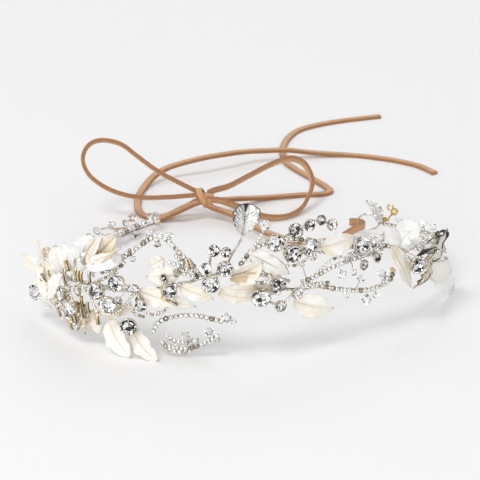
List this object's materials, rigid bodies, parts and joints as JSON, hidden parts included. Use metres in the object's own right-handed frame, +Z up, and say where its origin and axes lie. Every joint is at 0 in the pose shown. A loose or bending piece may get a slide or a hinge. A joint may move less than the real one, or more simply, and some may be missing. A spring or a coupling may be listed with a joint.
{
  "type": "bridal flower crown",
  "caption": "Hair vine bent to a ring, with pressed ivory and silver leaves, bead strands, rhinestone sprays and crystals, tied behind with a suede lace bow.",
  "frame": {"origin": "on the table, in the middle of the crown's own box without its laces", "axes": "+X to the crown's right as seen from its front, along its longest side; the decorated front faces -Y; +Z up"},
  "size_m": [0.1885, 0.2944, 0.0647],
  "materials": {
    "silver_wire": "silver-plated twisted wire, bright",
    "seed_beads": "clear glass seed beads with silver-lined bores",
    "ivory_leaf": "pearly ivory enamel over pressed leaf, champagne in its folds",
    "white_petal": "smooth white enamel",
    "silver_leaf": "cast silver leaf with engraved veins",
    "rhinestone": "faceted foil-backed stone in a bright metal cup",
    "crystal": "clear faceted crystal",
    "gold_stamen": "polished pale gold bead on wire",
    "suede_lace": "tan suede cut lace, matt nap"
  },
  "bodies": {
    "crown": {"arch_stone_spray": "rhinestone", "arch_strand": "seed_beads", "bow_knot": "suede_lace", "branch_end_stone": "rhinestone", "broad_leaf": "ivory_leaf", "calla_leaf": "ivory_leaf", "centre_folded_leaf": "ivory_leaf", "centre_long_leaf": "ivory_leaf", "centre_low_leaf": "ivory_leaf", "centre_stone_spray": "rhinestone", "folded_leaf": "ivory_leaf", "front_leaf_stone": "rhinestone", "front_left_leaf": "ivory_leaf", "front_right_leaf": "ivory_leaf", "front_spine_wire": "silver_wire", "left_back_petal": "ivory_leaf", "left_beaded_stem": "seed_beads", "left_bow_loop": "suede_lace", "left_fern_leaf": "silver_leaf", "left_foot_crystal": "crystal", "left_long_leaf": "ivory_leaf", "left_side_petal": "ivory_leaf", "left_spine_wire": "silver_wire", "left_stone_spray": "rhinestone", "left_tail": "suede_lace", "left_tie": "suede_lace", "left_upper_petal": "ivory_leaf", "loop_lower_strand": "seed_beads", "loop_upper_strand": "seed_beads", "lower_left_stone_spray": "rhinestone", "lower_stone_spray": "rhinestone", "middle_lower_leaf": "ivory_leaf", "middle_right_leaf": "ivory_leaf", "middle_stone": "rhinestone", "middle_upper_leaf": "ivory_leaf", "right_back_petal": "white_petal", "right_bow_loop": "suede_lace", "right_end_wire": "silver_wire", "right_eyelet": "silver_wire", "right_left_petal": "white_petal", "right_long_leaf": "ivory_leaf", "right_lower_petal": "white_petal", "right_lower_strand": "seed_beads", "right_scalloped_leaf": "silver_leaf", "right_silver_leaf": "silver_leaf", "right_spine_wire": "silver_wire", "right_star_stone": "rhinestone", "right_tail": "suede_lace", "right_tie": "suede_lace", "right_upper_strand": "seed_beads", "upper_branch_strand": "seed_beads", "upper_leaf": "ivory_leaf", "upper_left_stone_spray": "rhinestone"},
    "tall_leaf": {"tall_leaf_stem": "silver_wire", "tall_silver_leaf": "silver_leaf"},
    "centre_sprig": {"centre_stone_sprig": "rhinestone"},
    "upper_sprig": {"upper_stone_sprig": "rhinestone"},
    "stamen": {"stamen_sprig": "gold_stamen"},
    "curved_leaf": {"curved_silver_leaf": "silver_leaf"},
    "drop": {"crystal_drop": "crystal"}
  },
  "joints": [
    {"name": "tall_leaf_bend", "type": "hinge", "parent": "crown", "child": "tall_leaf", "pos_m": [-0.0058, -0.05733, 0.0354], "axis": [0.9937, 0.112, 0], "range_deg": [-25, 10]},
    {"name": "centre_sprig_bend", "type": "hinge", "parent": "crown", "child": "centre_sprig", "pos_m": [-0.01186, -0.05785, 0.0342], "axis": [0.9985, 0.054, 0], "range_deg": [-20, 8]},
    {"name": "upper_sprig_bend", "type": "hinge", "parent": "crown", "child": "upper_sprig", "pos_m": [0.01724, -0.05152, 0.047], "axis": [0.9382, 0.3461, 0], "range_deg": [-25, 8]},
    {"name": "stamen_bend", "type": "hinge", "parent": "crown", "child": "stamen", "pos_m": [0.06664, 0.05586, 0.0094], "axis": [-0.9157, 0.4019, 0], "range_deg": [-20, 20]},
    {"name": "curved_leaf_bend", "type": "hinge", "parent": "crown", "child": "curved_leaf", "pos_m": [0.06285, 0.05531, 0.0086], "axis": [-0.9429, 0.333, 0], "range_deg": [-25, 2]},
    {"name": "drop_swing", "type": "hinge", "parent": "crown", "child": "drop", "pos_m": [0.0514, -0.0353, 0.01695], "axis": [0.8391, 0.544, 0], "range_deg": [-35, 35]}
  ]
}
